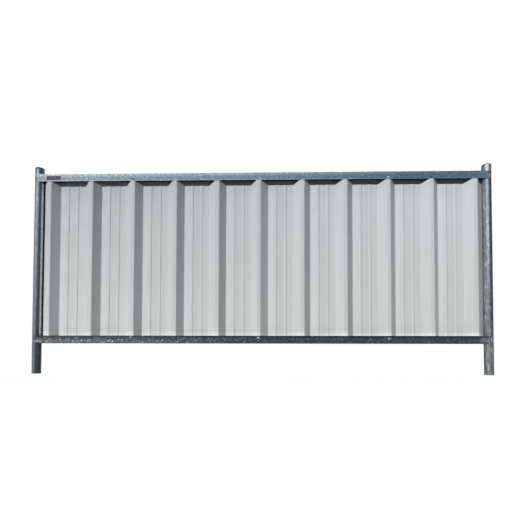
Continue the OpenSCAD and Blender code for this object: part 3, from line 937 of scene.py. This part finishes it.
def addLabel():
    # a rounded rectangle's outline, quarter circles about its four corner centres, stands
    # out by the film's thickness and draws in over the edge
    b = label
    turn = np.linspace(0, math.pi / 2, b["arcSteps"])
    angle = (np.arange(4)[:, None] * math.pi / 2 + turn).ravel()
    half = np.array(b["size"]) / 2 - b["corner"]
    signs = np.repeat([(1, 1), (-1, 1), (-1, -1), (1, -1)], b["arcSteps"], axis=0)
    direction = np.stack([np.cos(angle), np.sin(angle)], 1)
    centre = np.array(b["low"]) + np.array(b["size"]) / 2
    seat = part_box("top_rail")[0].y
    rings = []
    for inset, depth in ((0, 0), (0, b["thickness"] - b["edge"]), (b["edge"], b["thickness"])):
        xz = centre + signs * half + (b["corner"] - inset) * direction
        rings.append(np.column_stack([xz[:, 0], np.full(len(xz), seat - depth), xz[:, 1]]))
    points, *faces = closedShell(np.array(rings))
    piece = addPiece("rail_label", points, faces, [newFinish("labelFilm", patchy(label), label)])
    piece.data.set_sharp_from_angle(angle=math.radians(b["sharp"]))
    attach(piece, "root")


addLabel()
print("label made")


# finishes of the pieces that keep their own shape
def dress(name, finish):
    # the finish is the only one on the node's mesh
    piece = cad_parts[name]
    piece.data.materials.clear()
    piece.data.materials.append(finish)


capFinish = newFinish("capBlackPlastic", patchy(capPlastic), capPlastic)
for side in ("left", "right"):
    dress(side + "_post", postZinc(side))
    dress(side + "_post_cap", capFinish)
for part in ("top", "low"):
    dress(rails[part]["node"], railZinc(part))
print("finishes made")


# studio: pale floor, white surround, a soft key from the left, a soft back light, a wide
# light from the sky, and a low light before the panel's foot
studio = {
    # floorSeen and glow are for rays that see the floor; ambient is the surround's light
    "floor": (0.25, 0.25, 0.25), "floorSeen": (0.45, 0.45, 0.45), "floorSize": 60.0,
    "glow": 0.72, "ambient": 0.1, "ambientColour": (0.95, 1.0, 1.09),
    "key": {"power": 2.83, "azimuth": -33, "elevation": 12, "spread": 12},
    "back": {"power": 2.2, "azimuth": 155, "elevation": 40, "spread": 20},
    "sky": {"power": 0.8, "azimuth": -12, "elevation": 74, "spread": 60,
            "colour": (0.88, 0.96, 1.0)},
    "fill": {"power": 1.0, "size": (3.4, 0.5), "gap": 0.05, "height": 0.004},
}


def addSun(name, s):
    # azimuth 0 shines from straight before the panel, positive from the right
    light = bpy.data.lights.new(name, "SUN")
    light.energy = s["power"]
    light.color = s.get("colour", (1, 1, 1))
    light.angle = math.radians(s["spread"])
    sun = bpy.data.objects.new(name, light)
    a, e = math.radians(s["azimuth"]), math.radians(s["elevation"])
    source = Vector((math.sin(a) * math.cos(e), -math.cos(a) * math.cos(e), math.sin(e)))
    sun.rotation_mode = "QUATERNION"
    sun.rotation_quaternion = source.to_track_quat("Z", "Y")
    scene.collection.objects.link(sun)


def addFloorFill(f):
    # a low panel of light that lies before the fence and shines up at it
    light = bpy.data.lights.new("floorFill", "AREA")
    light.shape = "RECTANGLE"
    light.size, light.size_y = f["size"]
    light.energy = f["power"]
    lamp = bpy.data.objects.new("floorFill", light)
    lamp.location = (middleX, cadLow.y - f["gap"] - f["size"][1] / 2, f["height"])
    lamp.rotation_euler = (math.pi, 0, 0)
    lamp.visible_camera = False
    scene.collection.objects.link(lamp)


def seenDirectly(tree):
    # 1 for camera, glossy and transmission rays
    path = addNode(tree, "LightPath")
    either = calculate(tree, "MAXIMUM", path.outputs["Is Camera Ray"],
                       path.outputs["Is Glossy Ray"])
    return calculate(tree, "MAXIMUM", either, path.outputs["Is Transmission Ray"])


def addWorld():
    # white where it is seen directly, and a faint even light on everything else
    world = bpy.data.worlds.new("whiteSurround")
    tree = emptyTree(world)
    seen = seenDirectly(tree)
    background = addNode(tree, "Background", {
        "Color": blendColour(tree, seen, studio["ambientColour"], (1, 1, 1)),
        "Strength": ramp(tree, seen, 0, 1, studio["ambient"], 1.0),
    })
    addNode(tree, "OutputWorld", {"Surface": background.outputs[0]})
    scene.world = world


def addFloor():
    # one wide quad, plain grey in the light that reaches the panel, and paler with a glow for
    # rays that see it, so that it meets the white surround and keeps shadows
    finish = bpy.data.materials.new("paleFloor")
    tree = emptyTree(finish)
    plain = addNode(tree, "BsdfDiffuse", {"Color": (*studio["floor"], 1)})
    seen = addNode(tree, "BsdfDiffuse", {"Color": (*studio["floorSeen"], 1)})
    glow = addNode(tree, "Emission", {"Strength": studio["glow"]})
    lit = addNode(tree, "AddShader", {0: seen.outputs[0], 1: glow.outputs[0]})
    pick = addNode(tree, "MixShader", {
        0: seenDirectly(tree), 1: plain.outputs[0], 2: lit.outputs[0]})
    addNode(tree, "OutputMaterial", {"Surface": pick.outputs[0]})
    corners = studio["floorSize"] / 2 * np.array([[-1, -1], [1, -1], [1, 1], [-1, 1]])
    points = np.column_stack([corners + [middleX, 0], np.full(4, cadLow.z)])
    floor = addPiece("floor", points, [np.array([[0, 1, 2, 3]])], [finish], False)


for part in ("key", "back", "sky"):
    addSun(part + "Light", studio[part])
addFloorFill(studio["fill"])
addWorld()
addFloor()
scene.view_settings.view_transform = "Standard"
print("studio made")
